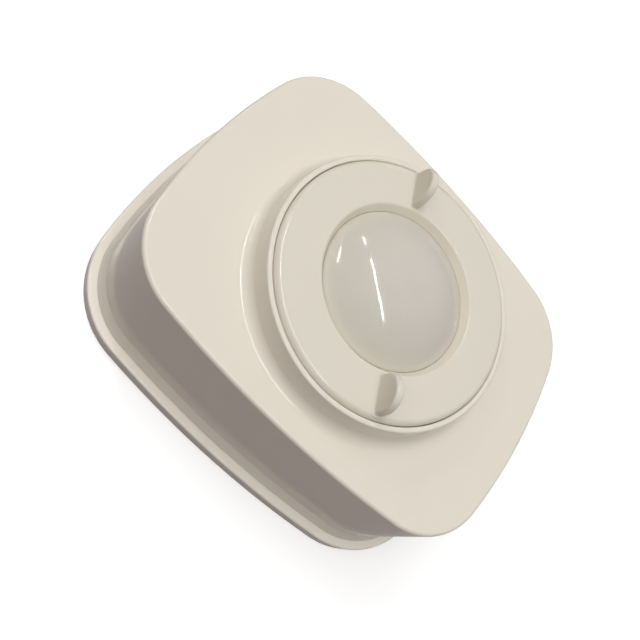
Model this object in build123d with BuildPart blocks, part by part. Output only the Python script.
"""Battery powered motion sensor: a flanged base plate, a lift-off front unit and a lens turret that turns.

Millimetres, +Z out of the front face, +X along the long side. The origin is the centre of the back face.
"""

from build123d import *
from math import asin, cos, degrees, radians, sin
import os

os.makedirs("parts", exist_ok=True)

# ---------------------------------------------------------------- driving dimensions
# Front face: a rectangle whose four sides bow outwards, with rounded corners.
face_length = 90.0
face_width = 70.0
corner_radius = 16.3
end_bow_radius = 117.0
side_bow_radius = 240.0
body_height = 31.0

# Base plate, which is wider than the face and shows as a thin flange all round.
flange_grow = 4.1
base_thickness = 3.8
base_floor = 2.4
base_edge_radius = 0.5
rim_height = 4.2
rim_wall = 1.5
rim_clearance = 0.2
crush_rib_width = 1.6
crush_rib_clearance = 0.05
back_relief_depth = 0.9
back_land = 5.0
slot_pad_radius = 8.0
slot_width = 4.5
slot_length = 8.0
slot_spacing_long = 60.0
slot_spacing_short = 44.0

# Front housing: a drafted side wall that flares at its foot.
housing_wall = 2.0
front_wall = 2.0
foot_gap = 0.25
foot_grow = 1.0
lip_grow = 2.1
lip_height = 2.9
front_edge_radius = 0.8
pry_slot_length = 10.0
pry_slot_height = 1.3

# Turret: the boss on the face, the bore and ledge in it, and the ring that turns there.
ring_radius = 26.5
ring_gap = 0.35
boss_lip_width = 0.95
boss_lip_round = 0.4
boss_height = 6.5
cove_radius = 3.0
ring_proud = 0.7
ring_plate = 2.2
ring_edge_radius = 1.3
skirt_wall = 1.6
ledge_drop = 3.5
ledge_thickness = 2.0
ledge_width = 4.3
sleeve_wall = 1.65
running_clearance = 0.05
seat_clearance = 0.1
turret_rest_angle = 115.2
turret_turn_limit = 60.0
stop_width = 2.0
stop_depth = 1.3
stop_height = 1.4
stop_clearance = 0.3
stop_spare_angle = 0.6
clip_thickness = 0.8
clip_groove_depth = 0.6
clip_width = 1.8
clip_opening = 7.0
clip_ear_radius = 1.3
clip_ear_hole = 0.5

# Half-moon grip fins that stand on the ring.
fin_inset = 0.85
fin_mouth_gap = 0.55
fin_height = 6.3
fin_straight = 1.9
fin_thickness = 1.7
fin_root = 0.8
fin_edge_radius = 0.5

# Dome lens and the ring that clamps it.
dome_radius = 16.2
dome_rise = 6.6
dome_wall = 0.9
dome_gap = 0.2
dome_flange_gap = 0.3
dome_flange_thickness = 0.8
dome_step = 0.4
mouth_bevel = 1.0
mouth_round = 0.6
groove_count = 6
groove_depth = 0.25
groove_first_angle = 6.0
groove_step_angle = 5.0
retainer_height = 1.3
retainer_width = 3.9

# Circuit board and its screws.
board_thickness = 1.6
board_inset = 3.0
post_radius = 3.2
part_clearance = 0.8
post_inset_long = 9.0
post_inset_short = 15.0
screw_radius = 1.0
screw_length = 6.0
screw_head_radius = 2.1
screw_head_height = 1.5
screw_head_round = 0.4
screw_drive_length = 2.4
screw_drive_width = 0.6
screw_drive_depth = 0.8
hole_clearance = 0.2

# Pyroelectric sensor under the lens.
can_radius = 4.6
can_height = 3.8
can_wall = 0.3
can_edge_radius = 0.25
header_radius = 4.95
header_height = 0.6
window_length = 4.0
window_width = 3.0
window_overlap = 0.5
window_thickness = 0.4
element_length = 3.0
element_width = 2.2
element_rise = 1.6
lead_radius = 0.22
lead_count = 3
lead_circle = 2.54
lead_hole_radius = 0.4

# Two round cells in a holder under the board.
cell_radius = 7.05
cell_length = 49.0
cell_nub_radius = 2.6
cell_nub_length = 1.3
cell_edge_radius = 0.5
cell_side_clearance = 0.45
holder_plate = 1.0
holder_end_wall = 1.5
holder_side_wall = 0.9
holder_depth = 11.0
holder_gap = 2.25
holder_corner_radius = 0.6
contact_width = 9.0
contact_height = 7.8
contact_thickness = 0.3
contact_tab_width = 1.6
contact_tab_rise = 0.8
cell_spring_radius = 3.0
cell_spring_wire = 0.3
cell_spring_length = 4.0
cell_spring_turns = 3

# Push button and dials on the board's back side.
button_size = 6.0
button_body_height = 3.4
button_wall = 0.8
button_cap_radius = 1.75
button_cap_height = 1.5
button_flange_radius = 2.3
button_flange_height = 0.5
button_travel = 0.4
dial_body_size = 6.5
dial_body_height = 3.0
dial_radius = 2.5
dial_height = 1.2
dial_gap = 0.15
dial_neck_radius = 1.2
dial_neck_length = 1.5
dial_slot_width = 0.7
dial_slot_depth = 0.6
dial_edge_radius = 0.2

# Tamper switch: a sprung plunger that stands on a post of the base.
tamper_size = 7.0
tamper_body_height = 6.0
tamper_wall = 0.8
tamper_rod_radius = 1.2
tamper_rod_length = 5.0
tamper_travel = 1.5
tamper_play = 0.6
tamper_collar_radius = 2.2
tamper_collar_height = 0.8
tamper_spring_radius = 1.9
tamper_spring_wire = 0.12
tamper_spring_turns = 5
tamper_post_radius = 2.4
tamper_bore_clearance = 0.3

# Parts on the board's front side.
led_radius = 1.5
led_flange_radius = 1.9
led_flange_height = 1.0
led_height = 3.6
led_pitch = 2.54
light_sensor_size = (3.2, 2.6, 1.1)
light_sensor_window = 0.9
light_sensor_window_depth = 0.2
radio_board_size = (16.0, 12.5, 0.8)
radio_shield_size = (13.0, 10.0, 1.9)
radio_shield_wall = 0.2
radio_shield_corner = 0.5
controller_span = 7.6
controller_height = 1.5
controller_lead_count = 6
controller_lead_pitch = 1.27
controller_lead_size = (1.0, 0.42, 0.25)
capacitor_base = 6.6
capacitor_base_height = 1.0
capacitor_radius = 3.1
capacitor_height = 5.2
capacitor_edge_radius = 0.4
antenna_length = 18.0
antenna_width = 3.0
antenna_rise = 4.6
antenna_thickness = 0.4
antenna_leg_gap = 4.0

# Places of the small parts, from the board's centre.
button_place = (-24.0, 13.0)
time_dial_place = (-9.0, 14.0)
light_dial_place = (4.0, 14.0)
tamper_place = (22.0, 13.0)
led_place = (9.0, 0.0)
light_sensor_place = (-9.0, 0.0)
radio_x = -28.0
radio_gap = 3.9
controller_place = (27.0, 6.0)
capacitor_place = (27.0, -14.0)
antenna_x = -23.0
antenna_gap = 2.25

# ---------------------------------------------------------------- levels and fits worked out from them
foot_bottom = base_thickness + foot_gap
lip_top = foot_bottom + lip_height
inner_front = body_height - front_wall

# The rim clears the housing's drafted wall at its tightest, level with the rim's top.
rim_top = base_thickness + rim_height
wall_draft = foot_grow / (inner_front - foot_bottom)
rim_grow = foot_grow - housing_wall - wall_draft * (rim_top - foot_bottom) - rim_clearance

boss_top = body_height + boss_height
bore_radius = ring_radius + ring_gap
boss_radius = bore_radius + boss_lip_width
cove_outer_radius = boss_radius + cove_radius
ledge_top = boss_top - ledge_drop
ledge_bottom = ledge_top - ledge_thickness
ledge_radius = bore_radius - ledge_width

ring_top = boss_top + ring_proud
plate_bottom = ring_top - ring_plate
sleeve_radius = ledge_radius - running_clearance
sleeve_inner_radius = sleeve_radius - sleeve_wall
clip_top = ledge_bottom - seat_clearance
clip_bottom = clip_top - clip_thickness
clip_seat_radius = sleeve_radius - clip_groove_depth
clip_ear_line = clip_seat_radius + clip_ear_radius + seat_clearance
sleeve_bottom = clip_bottom - clip_thickness
stop_radius = (sleeve_radius + ring_radius - skirt_wall) / 2
stop_half_angle = degrees(asin(stop_width / 2 / stop_radius))
stop_angle = turret_turn_limit + 2 * stop_half_angle + stop_spare_angle

# The fins stand on the flat between the mouth's bevel and the ring's rounded edge.
mouth_radius = dome_radius + dome_gap
fin_length = ring_radius - fin_inset - mouth_radius - mouth_bevel - fin_mouth_gap
fin_radius = ring_radius - fin_inset - fin_length / 2

# The dome is a cap of a sphere: its radius follows from the rim's radius and the rise.
dome_rim = plate_bottom + dome_step
dome_top = dome_rim + dome_rise
dome_sphere = (dome_radius**2 + dome_rise**2) / (2 * dome_rise)
dome_centre = dome_top - dome_sphere
dome_inner_sphere = dome_sphere - dome_wall
dome_flange_radius = sleeve_inner_radius - dome_flange_gap
dome_flange_bottom = plate_bottom - dome_flange_thickness
dome_inner_radius = dome_radius - dome_wall
dome_inner_top = dome_top - dome_wall
dome_inner_rim = dome_centre + (dome_inner_sphere**2 - dome_inner_radius**2) ** 0.5
dome_half_angle = asin(dome_radius / dome_sphere) / 2
dome_shoulder = (dome_sphere * sin(dome_half_angle), dome_centre + dome_sphere * cos(dome_half_angle))
dome_inner_shoulder = (
    dome_inner_sphere * sin(dome_half_angle),
    dome_centre + dome_inner_sphere * cos(dome_half_angle),
)

# The board stands off far enough for the tallest parts on its front side.
post_height = max(capacitor_height, antenna_rise + antenna_thickness) + part_clearance
board_top = inner_front - post_height
board_bottom = board_top - board_thickness
board_grow = -housing_wall - board_inset
post_spacing = (face_length - 2 * post_inset_long, face_width - 2 * post_inset_short)
screw_tip = board_bottom + screw_length
can_base = board_top + header_height
can_top = can_base + can_height

pocket_width = 2 * (cell_radius + cell_side_clearance)
cell_pitch = pocket_width + holder_side_wall
cell_centre = board_bottom - holder_plate - cell_side_clearance - cell_radius
contact_face = (cell_length + cell_nub_length + cell_spring_length) / 2
pocket_end = contact_face + contact_thickness
holder_length = 2 * (pocket_end + holder_end_wall)
holder_width = 2 * pocket_width + 3 * holder_side_wall
cell_row_y = (holder_width - face_width) / 2 + housing_wall + holder_gap
holder_top = board_bottom
pocket_top = holder_top - holder_plate
cell_rows = (cell_row_y - cell_pitch / 2, cell_row_y + cell_pitch / 2)
cell_sides = tuple(zip((1, -1), cell_rows))

# The radio board stands clear of the inner row's contact tabs, and the antenna clear of the radio board.
radio_y = cell_rows[1] + contact_tab_width / 2 + radio_gap + radio_board_size[1] / 2
radio_place = (radio_x, radio_y)
antenna_place = (antenna_x, radio_y + radio_board_size[1] / 2 + antenna_gap + antenna_width / 2)

button_bottom = board_bottom - button_body_height
dial_body_bottom = board_bottom - dial_body_height
tamper_bottom = board_bottom - tamper_body_height
tamper_rod_bottom = tamper_bottom - tamper_rod_length
tamper_floor = tamper_bottom + tamper_wall
tamper_ceiling = board_bottom - tamper_wall
tamper_collar_top = tamper_floor + tamper_play + tamper_collar_height

FROM_BELOW = (Align.CENTER, Align.CENTER, Align.MIN)


def outline(grow):
    """The face's outline grown outwards by a distance: its bows and corners keep their centres."""
    end_centre = face_length / 2 - end_bow_radius
    side_centre = face_width / 2 - side_bow_radius
    with BuildSketch() as shape:
        with Locations((end_centre, 0)):
            Circle(end_bow_radius + grow)
        with Locations((-end_centre, 0)):
            Circle(end_bow_radius + grow, mode=Mode.INTERSECT)
        with Locations((0, side_centre)):
            Circle(side_bow_radius + grow, mode=Mode.INTERSECT)
        with Locations((0, -side_centre)):
            Circle(side_bow_radius + grow, mode=Mode.INTERSECT)
        fillet(shape.vertices(), corner_radius + grow)
    return shape.sketch


def upright(radius, low, high, place=(0, 0), mode=Mode.ADD):
    """A cylinder about a vertical line, between two heights, in the part under way."""
    with Locations((*place, low)):
        Cylinder(radius, high - low, align=FROM_BELOW, mode=mode)


def block(length, width, low, high, place=(0, 0), mode=Mode.ADD):
    """A box about a vertical line, between two heights, in the part under way."""
    with Locations((*place, low)):
        Box(length, width, high - low, align=FROM_BELOW, mode=mode)


def wind(start, direction, length, radius, wire, turns):
    """A coil spring's wire, wound about a line from its start, in the part under way."""
    with BuildLine() as path:
        Helix(length / turns, length, radius, center=start, direction=direction)
    with BuildSketch(Plane(origin=path.line @ 0, z_dir=path.line % 0)) as section:
        Circle(wire)
    sweep(section.sketch, path=path.line, is_frenet=True)


# ---------------------------------------------------------------- base plate
with BuildPart() as base_plate:
    with BuildSketch():
        add(outline(flange_grow))
    extrude(amount=base_thickness)
    fillet(base_plate.faces().sort_by(Axis.Z)[-1].edges(), base_edge_radius)
    with BuildSketch(Plane.XY.offset(base_thickness)):
        add(outline(rim_grow))
    extrude(amount=rim_height)
    with BuildSketch(Plane.XY.offset(base_floor)):
        add(outline(rim_grow - rim_wall))
    extrude(amount=rim_top, mode=Mode.SUBTRACT)
    # Crush ribs on the rim's flat middles take up the play in the housing.
    rib_depth = rim_wall + rim_clearance - crush_rib_clearance
    rib_centre = rim_grow - rim_wall + rib_depth / 2
    for end in (-1, 1):
        rib_x = end * (face_length / 2 + rib_centre)
        rib_y = end * (face_width / 2 + rib_centre)
        block(rib_depth, crush_rib_width, base_thickness, rim_top, (rib_x, 0))
        block(crush_rib_width, rib_depth, base_thickness, rim_top, (0, rib_y))
    # The back is relieved but for a land round the edge and a pad at each slot.
    with BuildSketch():
        add(outline(flange_grow - back_land))
        with Locations((-slot_spacing_long / 2, 0), (slot_spacing_long / 2, 0)):
            Circle(slot_pad_radius, mode=Mode.SUBTRACT)
        with Locations((0, -slot_spacing_short / 2), (0, slot_spacing_short / 2)):
            Circle(slot_pad_radius, mode=Mode.SUBTRACT)
    extrude(amount=back_relief_depth, mode=Mode.SUBTRACT)
    with BuildSketch():
        with Locations((-slot_spacing_long / 2, 0), (slot_spacing_long / 2, 0)):
            SlotOverall(slot_length, slot_width)
        with Locations((0, -slot_spacing_short / 2), (0, slot_spacing_short / 2)):
            SlotOverall(slot_length, slot_width, rotation=90)
    extrude(amount=base_floor, mode=Mode.SUBTRACT)
    # The tamper plunger stands on this post.
    upright(tamper_post_radius, back_relief_depth, tamper_rod_bottom - seat_clearance, tamper_place)
base_plate.part.label = "base_plate"
export_step(base_plate.part, "parts/base_plate.step")

# ---------------------------------------------------------------- front housing
with BuildPart() as front_housing:
    with BuildSketch(Plane.XY.offset(lip_top)):
        add(outline(foot_grow))
    with BuildSketch(Plane.XY.offset(body_height)):
        add(outline(0))
    loft(ruled=True)
    fillet(front_housing.faces().sort_by(Axis.Z)[-1].edges(), front_edge_radius)
    with BuildSketch(Plane.XY.offset(foot_bottom)):
        add(outline(lip_grow))
    with BuildSketch(Plane.XY.offset(lip_top)):
        add(outline(foot_grow))
    loft(ruled=True)
    # Boss with a concave cove that runs out into the face.
    with BuildSketch(Plane.XZ):
        with BuildLine():
            Polyline(
                (0, boss_top),
                (0, inner_front),
                (cove_outer_radius, inner_front),
                (cove_outer_radius, body_height),
            )
            CenterArc((cove_outer_radius, body_height + cove_radius), cove_radius, -90, -90)
            Polyline((boss_radius, body_height + cove_radius), (boss_radius, boss_top), (0, boss_top))
        make_face()
    revolve(axis=Axis.Z)
    # Cavity, one wall inside the drafted side.
    with BuildSketch(Plane.XY.offset(foot_bottom)):
        add(outline(foot_grow - housing_wall))
    with BuildSketch(Plane.XY.offset(inner_front)):
        add(outline(-housing_wall))
    loft(ruled=True, mode=Mode.SUBTRACT)
    # Bore for the ring, the ledge that carries it, and the space for the clip under the ledge.
    upright(bore_radius, ledge_top, boss_top, mode=Mode.SUBTRACT)
    upright(ledge_radius, ledge_bottom, ledge_top, mode=Mode.SUBTRACT)
    upright(bore_radius, inner_front, ledge_bottom, mode=Mode.SUBTRACT)
    fillet(front_housing.faces().filter_by(Plane.XY).sort_by(Axis.Z)[-1].edges(), boss_lip_round)
    # Stop for the ring, on the ledge.
    with PolarLocations(stop_radius, 1, start_angle=turret_rest_angle):
        block(stop_depth, stop_width, ledge_top, ledge_top + stop_height)
    # Posts for the board screws.
    with GridLocations(*post_spacing, 2, 2):
        upright(post_radius, board_top, inner_front)
    with GridLocations(*post_spacing, 2, 2):
        upright(screw_radius + running_clearance, board_top, screw_tip, mode=Mode.SUBTRACT)
    # Slot under the foot where a blade parts the housing from the base.
    with Locations((face_length / 2 + lip_grow, 0, foot_bottom)):
        Box(2 * housing_wall, pry_slot_length, 2 * pry_slot_height, mode=Mode.SUBTRACT)
front_housing.part.label = "front_housing"
export_step(front_housing.part, "parts/front_housing.step")

# ---------------------------------------------------------------- turning lens ring
# One half-moon grip fin on the X axis, rooted a little below the ring's top.
with BuildPart() as grip_fin:
    with BuildSketch(Plane.XZ):
        with Locations((fin_radius, ring_top + fin_straight)):
            Ellipse(fin_length / 2, fin_height - fin_straight)
        with Locations((fin_radius, ring_top + fin_straight)):
            Rectangle(fin_length, fin_height, align=(Align.CENTER, Align.MAX))
        with Locations((fin_radius, ring_top - fin_root)):
            Rectangle(fin_length, fin_height, align=(Align.CENTER, Align.MAX), mode=Mode.SUBTRACT)
    extrude(amount=fin_thickness / 2, both=True)
    side_faces = grip_fin.faces().filter_by(Axis.Y)
    root_edges = grip_fin.faces().sort_by(Axis.Z)[0].edges()
    fillet([edge for edge in side_faces.edges() if edge not in root_edges], fin_edge_radius)

with BuildPart() as lens_ring:
    with BuildSketch(Plane.XZ) as ring_section:
        with BuildLine():
            Polyline(
                (mouth_radius, plate_bottom),
                (mouth_radius, dome_rim),
                (mouth_radius + mouth_bevel, ring_top),
                (ring_radius, ring_top),
                (ring_radius, ledge_top + seat_clearance),
                (ring_radius - skirt_wall, ledge_top + seat_clearance),
                (ring_radius - skirt_wall, plate_bottom),
                (sleeve_radius, plate_bottom),
                (sleeve_radius, clip_top + running_clearance),
                (clip_seat_radius, clip_top + running_clearance),
                (clip_seat_radius, clip_bottom - running_clearance),
                (sleeve_radius, clip_bottom - running_clearance),
                (sleeve_radius, sleeve_bottom),
                (sleeve_inner_radius, sleeve_bottom),
                (sleeve_inner_radius, plate_bottom),
                (mouth_radius, plate_bottom),
            )
        make_face()
        top_corners = ring_section.vertices().group_by(Axis.Y)[-1].sort_by(Axis.X)
        fillet(top_corners[0], mouth_round)
        fillet(top_corners[-1], ring_edge_radius)
    revolve(axis=Axis.Z)
    # Two lugs that meet the housing's stop at the ends of the turn.
    for side in (-1, 1):
        with PolarLocations(stop_radius, 1, start_angle=turret_rest_angle + side * stop_angle):
            block(stop_depth, stop_width, ledge_top + stop_clearance, plate_bottom)
    # The fins stand on one line through the axis.
    with PolarLocations(0, 2, start_angle=turret_rest_angle):
        add(grip_fin.part)
lens_ring.part.label = "lens_ring"
export_step(lens_ring.part, "parts/lens_ring.step")

# ---------------------------------------------------------------- dome lens
with BuildPart() as dome_lens:
    with BuildSketch(Plane.XZ):
        with BuildLine():
            Line((0, dome_inner_top), (0, dome_top))
            ThreePointArc((0, dome_top), dome_shoulder, (dome_radius, dome_rim))
            Polyline(
                (dome_radius, dome_rim),
                (dome_radius, plate_bottom),
                (dome_flange_radius, plate_bottom),
                (dome_flange_radius, dome_flange_bottom),
                (dome_inner_radius, dome_flange_bottom),
                (dome_inner_radius, dome_inner_rim),
            )
            ThreePointArc((dome_inner_radius, dome_inner_rim), dome_inner_shoulder, (0, dome_inner_top))
        make_face()
    revolve(axis=Axis.Z)
    # Stepped rings inside the dome bend the heat rays of each zone towards the sensor.
    for groove in range(groove_count):
        angle = radians(groove_first_angle + groove * groove_step_angle)
        groove_radius = dome_inner_sphere * sin(angle)
        groove_level = dome_centre + dome_inner_sphere * cos(angle)
        upright(
            groove_radius,
            groove_level - dome_wall,
            groove_level + groove_depth,
            mode=Mode.SUBTRACT,
        )
dome_lens.part.label = "dome_lens"
export_step(dome_lens.part, "parts/dome_lens.step")

with BuildPart() as lens_retainer:
    upright(sleeve_inner_radius, dome_flange_bottom - retainer_height, dome_flange_bottom)
    upright(
        sleeve_inner_radius - retainer_width,
        dome_flange_bottom - retainer_height,
        dome_flange_bottom,
        mode=Mode.SUBTRACT,
    )
lens_retainer.part.label = "lens_retainer"
export_step(lens_retainer.part, "parts/lens_retainer.step")

# ---------------------------------------------------------------- retaining clip under the ledge
with BuildPart() as retaining_clip:
    upright(clip_seat_radius + clip_width, clip_bottom, clip_top)
    upright(clip_seat_radius, clip_bottom, clip_top, mode=Mode.SUBTRACT)
    clip_middle = clip_seat_radius + clip_width / 2
    block(2 * clip_width, clip_opening, clip_bottom, clip_top, (clip_middle, 0), mode=Mode.SUBTRACT)
    ear_centre = clip_opening / 2 + clip_ear_radius
    ears = ((clip_ear_line, -ear_centre), (clip_ear_line, ear_centre))
    for ear in ears:
        upright(clip_ear_radius, clip_bottom, clip_top, ear)
    for ear in ears:
        upright(clip_ear_hole, clip_bottom, clip_top, ear, mode=Mode.SUBTRACT)
retaining_clip.part.label = "retaining_clip"
export_step(retaining_clip.part, "parts/retaining_clip.step")

# ---------------------------------------------------------------- circuit board and its screws
with BuildPart() as circuit_board:
    with BuildSketch(Plane.XY.offset(board_bottom)):
        add(outline(board_grow))
    extrude(amount=board_thickness)
    with GridLocations(*post_spacing, 2, 2):
        upright(screw_radius + hole_clearance, board_bottom, board_top, mode=Mode.SUBTRACT)
    with PolarLocations(lead_circle, lead_count):
        upright(lead_hole_radius, board_bottom, board_top, mode=Mode.SUBTRACT)
    with Locations(led_place):
        with GridLocations(0, led_pitch, 1, 2):
            upright(lead_hole_radius, board_bottom, board_top, mode=Mode.SUBTRACT)
    for row_y in cell_rows:
        for end in (-1, 1):
            tab_x = end * (contact_face + contact_thickness / 2)
            block(
                contact_thickness + hole_clearance,
                contact_tab_width + hole_clearance,
                board_bottom,
                board_top,
                (tab_x, row_y),
                mode=Mode.SUBTRACT,
            )
circuit_board.part.label = "circuit_board"
export_step(circuit_board.part, "parts/circuit_board.step")

with BuildPart() as board_screws:
    with GridLocations(*post_spacing, 2, 2):
        upright(screw_radius, board_bottom, screw_tip)
    with GridLocations(*post_spacing, 2, 2):
        upright(screw_head_radius, board_bottom - screw_head_height, board_bottom)
    head_faces = board_screws.faces().filter_by(Plane.XY).group_by(Axis.Z)[0]
    fillet(head_faces.edges(), screw_head_round)
    screw_drive_top = board_bottom - screw_head_height + screw_drive_depth
    for length, width in (
        (screw_drive_length, screw_drive_width),
        (screw_drive_width, screw_drive_length),
    ):
        with GridLocations(*post_spacing, 2, 2):
            block(length, width, board_bottom - screw_head_height, screw_drive_top, mode=Mode.SUBTRACT)
board_screws.part.label = "board_screws"
export_step(board_screws.part, "parts/board_screws.step")

# ---------------------------------------------------------------- pyroelectric sensor
with BuildPart() as sensor_header:
    upright(header_radius, board_top, can_base)
    with PolarLocations(lead_circle, lead_count):
        upright(lead_radius, board_bottom, board_top)
sensor_header.part.label = "sensor_header"
export_step(sensor_header.part, "parts/sensor_header.step")

with BuildPart() as sensor_element:
    block(element_length, element_width, can_base, can_base + element_rise)
sensor_element.part.label = "sensor_element"
export_step(sensor_element.part, "parts/sensor_element.step")

with BuildPart() as sensor_can:
    upright(can_radius, can_base, can_top)
    fillet(sensor_can.faces().sort_by(Axis.Z)[-1].edges(), can_edge_radius)
    upright(can_radius - can_wall, can_base, can_top - can_wall, mode=Mode.SUBTRACT)
    block(window_length, window_width, can_base, can_top, mode=Mode.SUBTRACT)
sensor_can.part.label = "sensor_can"
export_step(sensor_can.part, "parts/sensor_can.step")

with BuildPart() as sensor_window:
    block(
        window_length + 2 * window_overlap,
        window_width + 2 * window_overlap,
        can_top - can_wall - window_thickness,
        can_top - can_wall,
    )
sensor_window.part.label = "sensor_window"
export_step(sensor_window.part, "parts/sensor_window.step")

# ---------------------------------------------------------------- cells, holder and contacts
with BuildPart() as battery_holder:
    block(holder_length, holder_width, holder_top - holder_depth, holder_top, (0, cell_row_y))
    fillet(battery_holder.edges().filter_by(Axis.Z), holder_corner_radius)
    for row_y in cell_rows:
        block(
            2 * pocket_end,
            pocket_width,
            holder_top - holder_depth,
            pocket_top,
            (0, row_y),
            mode=Mode.SUBTRACT,
        )
        for end in (-1, 1):
            block(
                contact_thickness,
                contact_tab_width + hole_clearance,
                pocket_top,
                holder_top,
                (end * (contact_face + contact_thickness / 2), row_y),
                mode=Mode.SUBTRACT,
            )
battery_holder.part.label = "battery_holder"
export_step(battery_holder.part, "parts/battery_holder.step")

# The cells lie head to tail: the first points along +X and the second along -X.
for number, (side, row_y) in enumerate(cell_sides, start=1):
    with BuildPart() as battery:
        nub_end = side * contact_face
        body_centre = nub_end - side * (cell_nub_length + cell_length / 2)
        with Locations((body_centre, row_y, cell_centre)):
            Cylinder(cell_radius, cell_length, rotation=(0, 90, 0))
        fillet(battery.edges(), cell_edge_radius)
        with Locations((nub_end - side * cell_nub_length, row_y, cell_centre)):
            Cylinder(cell_nub_radius, 2 * cell_nub_length, rotation=(0, 90, 0))
    battery.part.label = f"battery_{number}"
    export_step(battery.part, f"parts/battery_{number}.step")

with BuildPart() as contact_plates:
    for row_y in cell_rows:
        for end in (-1, 1):
            plate_x = end * (contact_face + contact_thickness / 2)
            block(
                contact_thickness,
                contact_width,
                pocket_top - contact_height,
                pocket_top,
                (plate_x, row_y),
            )
            block(
                contact_thickness,
                contact_tab_width,
                pocket_top,
                board_top + contact_tab_rise,
                (plate_x, row_y),
            )
contact_plates.part.label = "contact_plates"
export_step(contact_plates.part, "parts/contact_plates.step")

with BuildPart() as cell_springs:
    for side, row_y in cell_sides:
        wind(
            (-side * (contact_face - cell_spring_wire), row_y, cell_centre),
            (side, 0, 0),
            cell_spring_length - 2 * cell_spring_wire,
            cell_spring_radius,
            cell_spring_wire,
            cell_spring_turns,
        )
cell_springs.part.label = "cell_springs"
export_step(cell_springs.part, "parts/cell_springs.step")

# ---------------------------------------------------------------- push button for pairing
with BuildPart() as button_body:
    block(button_size, button_size, button_bottom, board_bottom, button_place)
    upright(
        button_cap_radius + seat_clearance,
        button_bottom,
        board_bottom - button_wall,
        button_place,
        mode=Mode.SUBTRACT,
    )
    upright(
        button_flange_radius + seat_clearance,
        button_bottom + button_wall,
        board_bottom - button_wall,
        button_place,
        mode=Mode.SUBTRACT,
    )
button_body.part.label = "button_body"
export_step(button_body.part, "parts/button_body.step")

with BuildPart() as button_cap:
    flange_bottom = button_bottom + button_wall
    flange_top = flange_bottom + button_flange_height
    upright(button_cap_radius, button_bottom - button_cap_height, flange_top, button_place)
    fillet(button_cap.faces().sort_by(Axis.Z)[0].edges(), dial_edge_radius)
    upright(button_flange_radius, flange_bottom, flange_top, button_place)
button_cap.part.label = "button_cap"
export_step(button_cap.part, "parts/button_cap.step")

# ---------------------------------------------------------------- two setting dials
for dial_name, place in (("time", time_dial_place), ("light", light_dial_place)):
    with BuildPart() as dial_body:
        block(dial_body_size, dial_body_size, dial_body_bottom, board_bottom, place)
        upright(
            dial_neck_radius + running_clearance,
            dial_body_bottom,
            dial_body_bottom + dial_neck_length + seat_clearance,
            place,
            mode=Mode.SUBTRACT,
        )
    dial_body.part.label = f"{dial_name}_dial_body"
    export_step(dial_body.part, f"parts/{dial_name}_dial_body.step")

    with BuildPart() as dial:
        disc_top = dial_body_bottom - dial_gap
        disc_bottom = disc_top - dial_height
        upright(dial_radius, disc_bottom, disc_top, place)
        fillet(dial.faces().sort_by(Axis.Z)[0].edges(), dial_edge_radius)
        upright(dial_neck_radius, disc_top, dial_body_bottom + dial_neck_length, place)
        # Screwdriver slot, open at one side so that its end points at the setting.
        slot_place = (place[0] + dial_radius / 2, place[1])
        slot_top = disc_bottom + dial_slot_depth
        block(dial_radius * 2, dial_slot_width, disc_bottom, slot_top, slot_place, mode=Mode.SUBTRACT)
    dial.part.label = f"{dial_name}_dial"
    export_step(dial.part, f"parts/{dial_name}_dial.step")

# ---------------------------------------------------------------- tamper switch
with BuildPart() as tamper_body:
    block(tamper_size, tamper_size, tamper_bottom, board_bottom, tamper_place)
    bore = tamper_collar_radius + tamper_bore_clearance
    upright(bore, tamper_floor, tamper_ceiling, tamper_place, mode=Mode.SUBTRACT)
    bore = tamper_rod_radius + running_clearance
    upright(bore, tamper_bottom, tamper_floor, tamper_place, mode=Mode.SUBTRACT)
tamper_body.part.label = "tamper_body"
export_step(tamper_body.part, "parts/tamper_body.step")

with BuildPart() as tamper_plunger:
    upright(tamper_rod_radius, tamper_rod_bottom, tamper_collar_top, tamper_place)
    fillet(tamper_plunger.faces().sort_by(Axis.Z)[0].edges(), dial_edge_radius)
    collar_bottom = tamper_collar_top - tamper_collar_height
    upright(tamper_collar_radius, collar_bottom, tamper_collar_top, tamper_place)
tamper_plunger.part.label = "tamper_plunger"
export_step(tamper_plunger.part, "parts/tamper_plunger.step")

with BuildPart() as tamper_spring:
    wind(
        (*tamper_place, tamper_collar_top + tamper_spring_wire),
        (0, 0, 1),
        tamper_ceiling - tamper_collar_top - 2 * tamper_spring_wire,
        tamper_spring_radius,
        tamper_spring_wire,
        tamper_spring_turns,
    )
tamper_spring.part.label = "tamper_spring"
export_step(tamper_spring.part, "parts/tamper_spring.step")

# ---------------------------------------------------------------- lamp and light sensor under the dome
with BuildPart() as status_lamp:
    upright(led_flange_radius, board_top, board_top + led_flange_height, led_place)
    upright(led_radius, board_top, board_top + led_height, led_place)
    with Locations((*led_place, board_top + led_height)):
        Sphere(led_radius)
    with Locations(led_place):
        with GridLocations(0, led_pitch, 1, 2):
            upright(lead_radius, board_bottom, board_top)
status_lamp.part.label = "status_lamp"
export_step(status_lamp.part, "parts/status_lamp.step")

with BuildPart() as light_sensor:
    length, width, height = light_sensor_size
    sensor_top = board_top + height
    block(length, width, board_top, sensor_top, light_sensor_place)
    window_floor = sensor_top - light_sensor_window_depth
    upright(light_sensor_window, window_floor, sensor_top, light_sensor_place, mode=Mode.SUBTRACT)
light_sensor.part.label = "light_sensor"
export_step(light_sensor.part, "parts/light_sensor.step")

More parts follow.
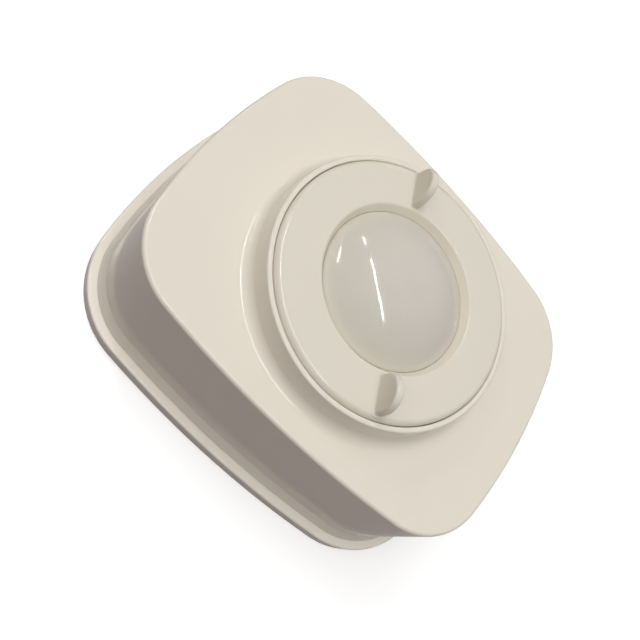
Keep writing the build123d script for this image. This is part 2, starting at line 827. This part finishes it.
# ---------------------------------------------------------------- radio, controller and power parts
radio_top = board_top + radio_board_size[2]
with BuildPart() as radio_board:
    block(radio_board_size[0], radio_board_size[1], board_top, radio_top, radio_place)
radio_board.part.label = "radio_board"
export_step(radio_board.part, "parts/radio_board.step")

with BuildPart() as radio_shield:
    length, width, height = radio_shield_size
    shield_top = radio_top + height
    block(length, width, radio_top, shield_top, radio_place)
    fillet(radio_shield.edges().filter_by(Axis.Z), radio_shield_corner)
    block(
        length - 2 * radio_shield_wall,
        width - 2 * radio_shield_wall,
        radio_top,
        shield_top - radio_shield_wall,
        radio_place,
        mode=Mode.SUBTRACT,
    )
radio_shield.part.label = "radio_shield"
export_step(radio_shield.part, "parts/radio_shield.step")

with BuildPart() as antenna:
    strip_bottom = board_top + antenna_rise
    strip_top = strip_bottom + antenna_thickness
    block(antenna_length, antenna_width, strip_bottom, strip_top, antenna_place)
    first_leg = (antenna_thickness - antenna_length) / 2
    for leg_x in (first_leg, first_leg + antenna_leg_gap):
        leg_place = (antenna_place[0] + leg_x, antenna_place[1])
        block(antenna_thickness, antenna_width, board_top, strip_top, leg_place)
antenna.part.label = "antenna"
export_step(antenna.part, "parts/antenna.step")

with BuildPart() as controller_chip:
    lead_length, lead_width, lead_thickness = controller_lead_size
    body_length = (controller_lead_count - 1) * controller_lead_pitch + 2 * lead_width
    body_width = controller_span - 2 * lead_length
    body_bottom = board_top + lead_thickness / 2
    block(body_length, body_width, body_bottom, board_top + controller_height, controller_place)
    with Locations(controller_place):
        with GridLocations(controller_lead_pitch, body_width + lead_length, controller_lead_count, 2):
            block(lead_width, lead_length + lead_thickness, board_top, board_top + lead_thickness)
controller_chip.part.label = "controller_chip"
export_step(controller_chip.part, "parts/controller_chip.step")

with BuildPart() as storage_capacitor:
    base_top = board_top + capacitor_base_height
    block(capacitor_base, capacitor_base, board_top, base_top, capacitor_place)
    upright(capacitor_radius, base_top, board_top + capacitor_height, capacitor_place)
    fillet(storage_capacitor.faces().sort_by(Axis.Z)[-1].edges(), capacitor_edge_radius)
storage_capacitor.part.label = "storage_capacitor"
export_step(storage_capacitor.part, "parts/storage_capacitor.step")
